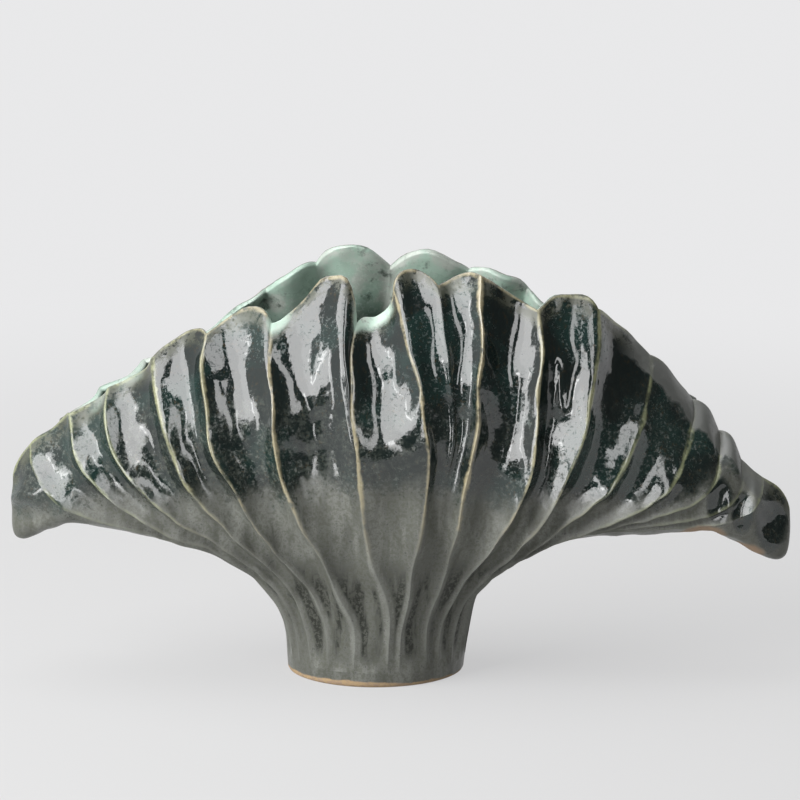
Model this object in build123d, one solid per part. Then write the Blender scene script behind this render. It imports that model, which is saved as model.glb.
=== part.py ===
from build123d import *
import os
from dataclasses import dataclass
from enum import IntEnum
from math import asin, copysign, cos, pi, radians, sin

# Fan vase in stoneware, hand-built from eight clay pieces that are luted together.
# A round floor slab carries a fluted stem collar. Two pleated walls rise from the collar and open
# into a wide fan, with a ruffled mouth between them. A keel strip closes the underside of each
# wing, and a rounded cap closes each wing tip.
#
# Frame: millimetres, +Z up, +X to the right of the front view, the front faces -Y.
# The origin is the centre of the underside of the foot.
#
# Every wall is a quilt of Bezier patches, one patch to a flute: cubic up the wall and quadratic
# from crest to crest. Neighbouring pieces share their crest curve, so they seat face to face.

# Foot and stem
FOOT_RADIUS = 45.0
SLAB_TOP_RADIUS = 46.0
FLOOR_THICKNESS = 8.0
FOOT_CHAMFER = 1.2
STEM_TOP = 26.0
STEM_TOP_HALF_WIDTH = 48.5
STEM_TOP_HALF_DEPTH = 47.0
STEM_TWIST = 12.0

# Clay thickness, down in the walls and at the rim, and how far the lip is rounded up
WALL = 5.0
RIM_WALL = 3.8
LIP_ROUND = 1.2

# Shoulder, where the ribs leave the stem
SHOULDER_HALF_WIDTH = 61.0
SHOULDER_HALF_DEPTH = 49.0
SHOULDER_HEIGHT = 62.0
LEFT_KEEL_SHOULDER_HEIGHT = 90.0
RIGHT_KEEL_SHOULDER_HEIGHT = 101.0

# Belly of the fan and the undersides of its wings
LEFT_REACH = 187.0
RIGHT_REACH = 213.0
BELLY_DEPTH = 80.0
BELLY_PINCH = 0.6
BELLY_HEIGHT = 118.0
LEFT_KEEL_HEIGHT = 58.0
RIGHT_KEEL_HEIGHT = 50.0
TIP_OVERHANG = 14.0
FAN_LEAN = 8.0

# Mouth: a dome in the front view, pinched towards the tips in plan
MOUTH_HALF_DEPTH = 35.0
MOUTH_PINCH = 1.6
CROWN_HEIGHT = 204.0
LEFT_TIP_HEIGHT = 104.0
RIGHT_TIP_HEIGHT = 90.0
LEFT_DOME = 1.8
RIGHT_DOME = 1.7

# Wing tips: where they start along the keel, and how far they hang
TIP_START = 0.64
LEFT_DROOP = 22.0
RIGHT_DROOP = 26.0

# Flutes: their depth at root, shoulder, belly and rim, and the width that takes the full depth
FLUTE_DEPTHS = (2.0, 5.0, 12.0, 9.0)
FULL_FLUTE_WIDTH = 32.0

# Places along a rib where its normals are taken, and the steps that measure them
ROW_STATIONS = (0.0, 1 / 3, 2 / 3, 1.0)
ANGLE_STEP = 0.01
RIB_STEP = 0.001


class Row(IntEnum):
    """Rows of control points up a rib."""

    ROOT = 0
    SHOULDER = 1
    BELLY = 2
    RIM = 3


@dataclass
class Pleat:
    """A crest and the flute to the right of it.

    place: share of the wing's reach, from -1 at the left tip to 1 at the right one
    sway, drop: how far the crest bends to the right and hangs down at the belly
    crest, flute: height of the ruffled rim above the dome, on the crest and in mid-flute
    sunk: share of a flute's depth that a short crest loses below the rim
    """

    place: float
    sway: float
    crest: float
    flute: float = 0.0
    drop: float = 0.0
    sunk: float = 0.0


@dataclass
class Column:
    """Control points up a wall, on its outer and its inner skin, from the root to the rim."""

    outer: list
    inner: list


# Shares of a flute's depth, row by row, on a crest that stands its full height
UNPRESSED = (0.0, 0.0, 0.0, 0.0)

# Pleats of the front and back walls, from the left wing to the right one
FRONT_PLEATS = (
    Pleat(-0.936, sway=14, drop=6, crest=-3, flute=5),
    Pleat(-0.835, sway=17, drop=12, crest=-1.5, flute=-1),
    Pleat(-0.728, sway=5, drop=6, crest=-5.5, flute=-1.5),
    Pleat(-0.605, sway=14, drop=14, crest=-3.5, flute=4),
    Pleat(-0.455, sway=-4, drop=9, crest=-5, flute=3),
    Pleat(-0.28, sway=0, drop=18, crest=-12, flute=11.5),
    Pleat(-0.046, sway=-6, drop=12, crest=-18, flute=-16),
    Pleat(0.039, sway=44, drop=3, crest=-2, flute=12),
    Pleat(0.148, sway=30, drop=8, crest=2, flute=10.5, sunk=1),
    Pleat(0.253, sway=9, drop=12, crest=11, flute=9.5),
    Pleat(0.385, sway=18, drop=20, crest=2, flute=17.5),
    Pleat(0.53, sway=3, drop=30, crest=14, flute=15),
    Pleat(0.67, sway=-3, drop=18, crest=8.5, flute=8.5),
    Pleat(0.775, sway=-4, drop=15, crest=-2.5, flute=3),
    Pleat(0.845, sway=0, drop=6, crest=-2.5, flute=1.5),
    Pleat(0.895, sway=0, drop=2, crest=-9, flute=-7),
    Pleat(0.938, sway=0, crest=-9),
)
BACK_PLEATS = (
    Pleat(-0.945, sway=6, crest=0, flute=-1),
    Pleat(-0.86, sway=8, crest=-3, flute=-4),
    Pleat(-0.75, sway=2, crest=-6, flute=-6),
    Pleat(-0.635, sway=-6, crest=-8, flute=-8),
    Pleat(-0.522, sway=4, crest=-9, flute=-8),
    Pleat(-0.42, sway=0, crest=-12, flute=-3),
    Pleat(-0.31, sway=-8, crest=0, flute=1),
    Pleat(-0.16, sway=10, crest=2, flute=17),
    Pleat(0.04, sway=-4, crest=-1, flute=14),
    Pleat(0.23, sway=6, crest=3, flute=4),
    Pleat(0.37, sway=-6, crest=2, flute=3),
    Pleat(0.51, sway=4, crest=0, flute=2),
    Pleat(0.65, sway=-4, crest=-3, flute=-1),
    Pleat(0.77, sway=-6, crest=-5, flute=-4),
    Pleat(0.86, sway=0, crest=-5, flute=-6),
    Pleat(0.925, sway=0, crest=-6),
)


def side(share, left, right):
    """The value for the wing that this share of the reach lies on."""
    return left if share < 0 else right


def stem_turn(angle):
    """Angle round the stem, from the front towards the right, of the rib at this loop angle."""
    quarter = radians(90) * sin(angle)
    twist = radians(STEM_TWIST) * abs(cos(angle))
    return twist + (quarter if cos(angle) >= 0 else pi - quarter)


def on_stem(angle, half_width, half_depth, height):
    """Point of an oval round the stem, on the rib at this loop angle."""
    turn = stem_turn(angle)
    return Vector(half_width * sin(turn), -half_depth * cos(turn), height)


def fan_rib(angle):
    """Four control points of the smooth fan at this loop angle: root, shoulder, belly and rim."""
    share = sin(angle)
    facing = cos(angle)
    depth = abs(facing)
    reach = side(share, LEFT_REACH, RIGHT_REACH)
    keel = side(share, LEFT_KEEL_HEIGHT, RIGHT_KEEL_HEIGHT)
    tip = side(share, LEFT_TIP_HEIGHT, RIGHT_TIP_HEIGHT)
    dome = side(share, LEFT_DOME, RIGHT_DOME)
    keel_shoulder = side(share, LEFT_KEEL_SHOULDER_HEIGHT, RIGHT_KEEL_SHOULDER_HEIGHT)
    shoulder_height = SHOULDER_HEIGHT + (keel_shoulder - SHOULDER_HEIGHT) * share**2
    belly_x = reach * share - FAN_LEAN * (1 - share**4) + TIP_OVERHANG * share**3
    belly_y = -copysign(BELLY_DEPTH * depth**BELLY_PINCH, facing)
    belly_height = keel + (BELLY_HEIGHT - keel) * depth**2
    mouth_y = -copysign(MOUTH_HALF_DEPTH * depth**MOUTH_PINCH, facing)
    rim_height = tip + (CROWN_HEIGHT - tip) * depth**dome
    return [
        on_stem(angle, STEM_TOP_HALF_WIDTH, STEM_TOP_HALF_DEPTH, STEM_TOP),
        on_stem(angle, SHOULDER_HALF_WIDTH, SHOULDER_HALF_DEPTH, shoulder_height),
        Vector(belly_x, belly_y, belly_height),
        Vector(reach * share, mouth_y, rim_height),
    ]


def stem_handle():
    """Height between neighbouring rows of the stem's control points."""
    return (STEM_TOP - FLOOR_THICKNESS) / 3


def stem_rib(angle):
    """Four control points of the smooth stem, in line with the slab's side below and the fan above."""
    root, shoulder = fan_rib(angle)[:2]
    ground = on_stem(angle, FOOT_RADIUS, FOOT_RADIUS, 0)
    foot = on_stem(angle, SLAB_TOP_RADIUS, SLAB_TOP_RADIUS, FLOOR_THICKNESS)
    flare = (foot - ground) * (stem_handle() / FLOOR_THICKNESS)
    lean = (shoulder - root) * (stem_handle() / (shoulder.Z - root.Z))
    return [foot, foot + flare, root - lean, root]


def along(rib, station):
    """Point of a rib's cubic curve, from 0 at the root to 1 at the rim."""
    rest = 1 - station
    weights = (rest**3, 3 * station * rest**2, 3 * station**2 * rest, station**3)
    total = Vector(0, 0, 0)
    for weight, point in zip(weights, rib):
        total += point * weight
    return total


def radial(angle):
    """Level direction straight out of the stem."""
    turn = stem_turn(angle)
    return Vector(sin(turn), -cos(turn), 0)


def fan_normal(angle, station):
    """Outward direction of the smooth fan, level at the root so that it seats on the collar."""
    if station == 0:
        return radial(angle)
    high = min(station + RIB_STEP, 1.0)
    across = along(fan_rib(angle + ANGLE_STEP), station) - along(fan_rib(angle - ANGLE_STEP), station)
    upward = along(fan_rib(angle), high) - along(fan_rib(angle), station - RIB_STEP)
    return across.cross(upward).normalized()


def fan_column(angle, pressed=UNPRESSED, sway=0.0, drop=0.0, ruffle=0.0):
    """Points that the fan passes through at this loop angle, each row pressed in by a share of a flute."""
    walls = (WALL, WALL, WALL, RIM_WALL)
    outer = []
    inner = []
    for row, point in zip(Row, fan_rib(angle)):
        normal = fan_normal(angle, ROW_STATIONS[row])
        outer.append(point - normal * (FLUTE_DEPTHS[row] * pressed[row]))
        inner.append(outer[-1] - normal * walls[row])
    for skin in (outer, inner):
        skin[Row.BELLY] += Vector(sway, 0, -drop)
        skin[Row.RIM] += Vector(0, 0, ruffle)
    return Column(outer, inner)


def stem_column(angle, pressed=UNPRESSED, **fan_only):
    """Points that the stem passes through at this loop angle. Its flutes fade out at the foot."""
    root_depth = FLUTE_DEPTHS[Row.ROOT] * pressed[Row.ROOT]
    deepening = FLUTE_DEPTHS[Row.SHOULDER] * pressed[Row.SHOULDER] - root_depth
    upper_depth = root_depth - deepening * stem_handle() / (SHOULDER_HEIGHT - STEM_TOP)
    normal = radial(angle)
    depths = (0, root_depth, upper_depth, root_depth)
    outer = [point - normal * depth for point, depth in zip(stem_rib(angle), depths)]
    inner = [point - normal * WALL for point in outer]
    return Column(outer, inner)


def stretched(target, left, right):
    """Control column whose quadratic from left to right passes through the target halfway."""
    skins = []
    for skin in ("outer", "inner"):
        ends = zip(getattr(target, skin), getattr(left, skin), getattr(right, skin))
        skins.append([middle * 2 - (first + last) * 0.5 for middle, first, last in ends])
    return Column(*skins)


def loop_angle(share, back):
    """Loop angle of a place on the front or back wall: 0 is the front, 90 degrees the right tip."""
    return pi - asin(share) if back else asin(share)


def pleated(make_column, pleats, back):
    """Columns of a pleated wall: a crest, the flute beside it, the next crest and so on."""
    angles = [loop_angle(pleat.place, back) for pleat in pleats]
    crests = []
    for angle, pleat in zip(angles, pleats):
        below_rim = (pleat.sunk, pleat.sunk, pleat.sunk, 0.0)
        crest = make_column(angle, pressed=below_rim, sway=pleat.sway, drop=pleat.drop, ruffle=pleat.crest)
        crests.append(crest)
    columns = crests[:1]
    for index, (pleat, following) in enumerate(zip(pleats, pleats[1:])):
        left, right = crests[index : index + 2]
        rim_width = (fan_rib(angles[index])[Row.RIM] - fan_rib(angles[index + 1])[Row.RIM]).length
        depth_share = min(1.0, rim_width / FULL_FLUTE_WIDTH)
        middle = make_column(
            loop_angle((pleat.place + following.place) / 2, back),
            pressed=(depth_share,) * len(Row),
            sway=(pleat.sway + following.sway) / 2,
            drop=(pleat.drop + following.drop) / 2,
            ruffle=pleat.flute,
        )
        columns += [stretched(middle, left, right), right]
    return columns


def lip_crown(column, rounding):
    """Control point over the lip, in line with the wall, that rounds it up by this much."""
    upward = (column.outer[Row.RIM] - column.outer[Row.BELLY]).normalized()
    return (column.outer[Row.RIM] + column.inner[Row.RIM]) * 0.5 + upward * (2 * rounding)


def edge_band(strip, row, rounding):
    """Face across the clay's thickness along one edge of a patch, rounded up where it is a lip."""
    outer = [column.outer[row] for column in strip]
    inner = [column.inner[row] for column in strip]
    if not rounding:
        return Face.make_bezier_surface([outer, inner])
    crown = [lip_crown(column, rounding) for column in strip]
    return Face.make_bezier_surface([outer, crown, inner])


def side_band(column, rounding):
    """Faces across the clay's thickness at the end of a quilt."""
    faces = [Face.make_bezier_surface([column.outer, column.inner])]
    if rounding:
        crown = lip_crown(column, rounding)
        lip = Edge.make_bezier(column.outer[Row.RIM], crown, column.inner[Row.RIM])
        chord = Edge.make_line(column.outer[Row.RIM], column.inner[Row.RIM])
        faces.append(Face(Wire([lip, chord])))
    return faces


def quilt(columns, rounding=0.0, ring=False):
    """Solid wall sewn from one patch to a flute on each skin, with bands along its open edges."""
    faces = []
    for start in range(0, len(columns) - 1, 2):
        strip = columns[start : start + 3]
        faces.append(Face.make_bezier_surface([column.outer for column in strip]))
        faces.append(Face.make_bezier_surface([column.inner for column in strip]))
        faces.append(edge_band(strip, Row.ROOT, 0))
        faces.append(edge_band(strip, Row.RIM, rounding))
    if not ring:
        faces += side_band(columns[0], rounding)
        faces += side_band(columns[-1], rounding)
    return Solid(Shell(faces))


def halved(points, station):
    """Control points of a rib below and above a station along it."""
    lower = [points[0]]
    upper = [points[-1]]
    while len(points) > 1:
        points = [first + (last - first) * station for first, last in zip(points, points[1:])]
        lower.append(points[0])
        upper.insert(0, points[-1])
    return lower, upper


def cut_columns(columns, station):
    """The columns of a strip below and above a station."""
    lower = []
    upper = []
    for column in columns:
        outer = halved(column.outer, station)
        inner = halved(column.inner, station)
        lower.append(Column(outer[0], inner[0]))
        upper.append(Column(outer[1], inner[1]))
    return lower, upper


def hung(columns, droop):
    """Tip columns whose keel line hangs lower, most of all near the end."""
    first, keel, last = columns
    drops = (0, droop, 3 * droop, 0)
    outer = [point - Vector(0, 0, drop) for point, drop in zip(keel.outer, drops)]
    inner = [point - Vector(0, 0, drop) for point, drop in zip(keel.inner, drops)]
    return [first, Column(outer, inner), last]


def floor_slab():
    """Round slab that widens upwards, with a chamfered underside edge."""
    slab = Cone(FOOT_RADIUS, SLAB_TOP_RADIUS, FLOOR_THICKNESS, align=(Align.CENTER, Align.CENTER, Align.MIN))
    underside_edges = slab.faces().sort_by(Axis.Z)[0].edges()
    return chamfer(underside_edges, FOOT_CHAMFER)


def ring_columns(make_column):
    """Front columns, right keel, back columns and left keel of one layer of the vase."""
    front = pleated(make_column, FRONT_PLEATS, back=False)
    back = pleated(make_column, BACK_PLEATS, back=True)
    right_keel = stretched(make_column(pi / 2), front[-1], back[-1])
    left_keel = stretched(make_column(-pi / 2), back[0], front[0])
    return front, right_keel, back, left_keel


def stem_collar():
    """Closed fluted collar between the slab and the walls."""
    front, right_keel, back, left_keel = ring_columns(stem_column)
    return quilt(front + [right_keel] + back[::-1] + [left_keel, front[0]], ring=True)


def fan_pieces():
    """Front and back walls, keel strips and wing tips."""
    front, right_keel, back, left_keel = ring_columns(fan_column)
    right_strip, right_tip = cut_columns([front[-1], right_keel, back[-1]], TIP_START)
    left_strip, left_tip = cut_columns([back[0], left_keel, front[0]], TIP_START)
    return {
        "front_wall": quilt(front, LIP_ROUND),
        "back_wall": quilt(back, LIP_ROUND),
        "right_keel": quilt(right_strip),
        "left_keel": quilt(left_strip),
        "right_wing_tip": quilt(hung(right_tip, RIGHT_DROOP), LIP_ROUND),
        "left_wing_tip": quilt(hung(left_tip, LEFT_DROOP), LIP_ROUND),
    }


pieces = {"floor_slab": floor_slab(), "stem_collar": stem_collar(), **fan_pieces()}
os.makedirs("parts", exist_ok=True)
for name, piece in pieces.items():
    export_step(piece, f"parts/{name}.step")
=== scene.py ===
"""Looks of the pleated fan vase: its clay pieces, their glaze and the studio that they stand in.

The form repeats the part's own rule, so every piece sits where its CAD node sits. Sizes of the clay are in
millimetres, and places on the glaze and in the studio are in metres. Every mesh is made in metres, in the
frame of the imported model: +Z up, the front to -Y, and the origin at the centre of the underside of the foot.
"""
from __future__ import annotations

import logging
from dataclasses import dataclass
from enum import Enum, IntEnum
from functools import reduce
from math import asin, copysign, cos, exp, log, pi, radians, sin, sqrt
from typing import TypeAlias

import bmesh
import bpy
from mathutils import Euler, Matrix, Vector, noise

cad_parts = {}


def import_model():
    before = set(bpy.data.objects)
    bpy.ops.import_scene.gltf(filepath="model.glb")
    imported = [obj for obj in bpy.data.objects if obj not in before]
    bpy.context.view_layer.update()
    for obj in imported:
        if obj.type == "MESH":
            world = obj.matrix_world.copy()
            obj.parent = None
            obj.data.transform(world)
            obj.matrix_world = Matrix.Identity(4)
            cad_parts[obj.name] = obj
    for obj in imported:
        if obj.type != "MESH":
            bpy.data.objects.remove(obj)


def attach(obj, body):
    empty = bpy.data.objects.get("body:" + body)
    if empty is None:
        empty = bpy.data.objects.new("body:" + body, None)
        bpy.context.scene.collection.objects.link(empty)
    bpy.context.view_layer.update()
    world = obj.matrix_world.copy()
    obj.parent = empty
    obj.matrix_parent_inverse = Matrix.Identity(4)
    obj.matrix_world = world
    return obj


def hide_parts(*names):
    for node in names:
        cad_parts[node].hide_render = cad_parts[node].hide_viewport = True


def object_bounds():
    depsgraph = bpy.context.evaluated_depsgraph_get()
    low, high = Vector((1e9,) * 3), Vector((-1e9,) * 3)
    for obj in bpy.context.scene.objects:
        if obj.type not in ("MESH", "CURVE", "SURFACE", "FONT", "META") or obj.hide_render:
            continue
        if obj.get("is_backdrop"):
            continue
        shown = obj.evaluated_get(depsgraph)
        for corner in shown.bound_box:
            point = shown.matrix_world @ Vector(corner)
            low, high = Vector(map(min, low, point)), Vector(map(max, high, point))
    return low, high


Colour: TypeAlias = tuple[float, float, float]
Triple: TypeAlias = tuple[float, float, float]
Pair: TypeAlias = tuple[float, float]
Span: TypeAlias = tuple[float, float]

LOG = logging.getLogger("fan_vase")
MM = 0.001
BODY = "root"
NOISE_SEED = 17


class Row(IntEnum):
    """Rows of control points up a rib."""

    ROOT = 0
    SHOULDER = 1
    BELLY = 2
    RIM = 3


class Skin(Enum):
    """The two faces of the clay."""

    OUTER = "outer"
    INNER = "inner"


class Wing(IntEnum):
    """The two wings of the fan, by the sign of their side."""

    LEFT = -1
    RIGHT = 1


class Layer(Enum):
    """Numbers that the clay's vertices carry for the glaze."""

    CREST_GAP = "crest_gap"
    RIM_GAP = "rim_gap"
    INSIDE = "inside"
    VALLEY = "valley"


class Slot(Enum):
    """Names of the two material slots."""

    GLAZE = "green_glaze"
    CLAY = "bare_clay"


@dataclass(frozen=True)
class Pleat:
    """A crest and the flute to the right of it.

    Attributes:
        place: share of the wing's reach, from -1 at the left tip to 1 at the right one.
        sway: how far the crest bends to the right at the belly.
        crest: height of the ruffled rim above the dome, on the crest.
        flute: the same in mid-flute.
        drop: how far the crest hangs down at the belly.
        sunk: share of a flute's depth that a short crest loses below the rim.
        faded: share of a flute's depth that a crest loses at the rim.
        peak: where across the flute its rim is highest, or lowest in a valley.
        fullness: how broad that lobe is, 2 for a parabola and more for a broader one.
    """

    place: float
    sway: float
    crest: float
    flute: float = 0.0
    drop: float = 0.0
    sunk: float = 0.0
    faded: float = 0.0
    peak: float = 0.5
    fullness: float = 2.0


@dataclass
class Rib:
    """Control points up a wall, on its outer and its inner skin, from the root to the rim."""

    outer: list[Vector]
    inner: list[Vector]

    def points(self, skin: Skin) -> list[Vector]:
        """Control points of one skin."""
        return self.outer if skin is Skin.OUTER else self.inner


@dataclass
class Flute:
    """One hollow between two crests.

    Attributes:
        left, right: the crest ribs on either side.
        middle: the rib that the wall passes through halfway between them.
        softness: how far the crests are rounded over, as a share of the hollow. A plain strip has none.
        left_line, right_line: whether the glaze breaks to a pale line on that crest.
        peak, fullness: where the rim's lobe is highest and how broad it is.
    """

    left: Rib
    middle: Rib
    right: Rib
    softness: float = 0.12
    left_line: bool = True
    right_line: bool = True
    peak: float = 0.5
    fullness: float = 2.0

    def hollow(self, across: float) -> float:
        """Depth of the hollow at a share of its width, from 0 on a crest to 1 in the middle."""
        parabola = 4 * across * (1 - across)
        if not self.softness:
            return parabola
        eased = sqrt(parabola * parabola + self.softness**2) - self.softness
        return eased / (sqrt(1 + self.softness**2) - self.softness)

    def lobe(self, across: float) -> float:
        """Height of the rim's lobe at a share of the flute's width, from 0 on a crest to 1 at its peak."""
        centred = across ** (log(0.5) / log(self.peak))
        return 1 - abs(2 * centred - 1) ** self.fullness

    def rib(self, across: float) -> Rib:
        """Rib at a share of the flute's width.

        Args:
            across: 0 on the left crest, 1 on the right one.

        Returns:
            The control points of the wall there.
        """
        depth = self.hollow(across)
        lobe = self.lobe(across)
        skins = []
        for skin in Skin:
            rows = zip(self.left.points(skin), self.middle.points(skin), self.right.points(skin))
            points = []
            for row, (first, middle, last) in zip(Row, rows):
                press = middle - (first + last) * 0.5
                points.append(first.lerp(last, across) + press * depth)
                if row is Row.RIM:
                    points[row].z += press.z * (lobe - depth)
            skins.append(points)
        return Rib(*skins)

    def line_crest(self, across: float) -> Rib | None:
        """Nearest crest that carries a pale line.

        Args:
            across: 0 on the left crest, 1 on the right one.

        Returns:
            Its rib, or nothing where neither crest has a line.
        """
        if not self.softness or not (self.left_line or self.right_line):
            return None
        if not self.right_line:
            return self.left
        return self.left if self.left_line and across < 0.5 else self.right


def along(points: list[Vector], station: float) -> Vector:
    """Point of a rib's cubic curve.

    Args:
        points: its four control points.
        station: 0 at the root, 1 at the rim.

    Returns:
        The point, in millimetres.
    """
    rest = 1 - station
    return (
        points[Row.ROOT] * rest**3
        + points[Row.SHOULDER] * (3 * station * rest**2)
        + points[Row.BELLY] * (3 * station**2 * rest)
        + points[Row.RIM] * station**3
    )


def upper_part(points: list[Vector], station: float) -> list[Vector]:
    """Control points of a cubic's part past a station.

    Args:
        points: the four control points.
        station: where the part starts.

    Returns:
        The four control points of the part.
    """
    upper = [points[-1]]
    while len(points) > 1:
        points = [first.lerp(last, station) for first, last in zip(points, points[1:])]
        upper.insert(0, points[-1])
    return upper


UNPRESSED = (0.0, 0.0, 0.0, 0.0)

FRONT_PLEATS = (
    Pleat(-0.936, sway=14, drop=6, crest=-3, flute=5),
    Pleat(-0.835, sway=17, drop=12, crest=-1.5, flute=-1),
    Pleat(-0.728, sway=5, drop=6, crest=-5.5, flute=-1.5),
    Pleat(-0.605, sway=14, drop=14, crest=-3.5, flute=4, peak=0.55, fullness=4),
    Pleat(-0.455, sway=-4, drop=9, crest=-5, flute=3, peak=0.66, fullness=3),
    Pleat(-0.28, sway=0, drop=18, crest=-12, flute=11.5, peak=0.7, fullness=3.2),
    Pleat(-0.046, sway=-6, drop=12, crest=-18, flute=-16, peak=0.72, fullness=3),
    Pleat(0.039, sway=44, drop=3, crest=-2, flute=12, peak=0.42, fullness=2.6),
    Pleat(0.148, sway=30, drop=8, crest=2, flute=10.5, sunk=1, peak=0.62, fullness=2.6),
    Pleat(0.253, sway=9, drop=12, crest=11, flute=9.5),
    Pleat(0.385, sway=18, drop=20, crest=2, flute=17.5, peak=0.62, fullness=3.4),
    Pleat(0.53, sway=3, drop=30, crest=14, flute=15, peak=0.42, fullness=2.6),
    Pleat(0.67, sway=-3, drop=18, crest=7.5, flute=7, faded=0.8),
    Pleat(0.775, sway=-4, drop=15, crest=-1.5, flute=1, faded=0.8),
    Pleat(0.845, sway=0, drop=6, crest=-3, flute=-1.5, faded=0.8),
    Pleat(0.895, sway=0, drop=2, crest=-8, flute=-7.5, faded=0.6),
    Pleat(0.938, sway=0, crest=-9),
)
BACK_PLEATS = (
    Pleat(-0.945, sway=6, crest=-3, flute=-1),
    Pleat(-0.86, sway=8, crest=-7, flute=-4),
    Pleat(-0.75, sway=2, crest=-10, flute=-6),
    Pleat(-0.635, sway=-6, crest=-12, flute=-8),
    Pleat(-0.522, sway=4, crest=-12, flute=-8),
    Pleat(-0.42, sway=0, crest=-12, flute=-3),
    Pleat(-0.31, sway=-8, crest=-4, flute=7, fullness=2.6),
    Pleat(-0.16, sway=10, crest=3, flute=16),
    Pleat(0.04, sway=-4, crest=-1, flute=14),
    Pleat(0.23, sway=6, crest=3, flute=11, fullness=2.8),
    Pleat(0.37, sway=-6, crest=3, flute=3),
    Pleat(0.51, sway=4, crest=0, flute=2),
    Pleat(0.65, sway=-4, crest=-3, flute=-1),
    Pleat(0.77, sway=-6, crest=-7, flute=-7),
    Pleat(0.86, sway=0, crest=-11, flute=-13),
    Pleat(0.925, sway=0, crest=-15),
)


@dataclass(frozen=True)
class Sides:
    """A size that differs between the wings."""

    left: float
    right: float

    def at(self, share: float) -> float:
        """The size on the left wing below 0, and on the right wing from 0 on."""
        return self.left if share < 0 else self.right


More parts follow.
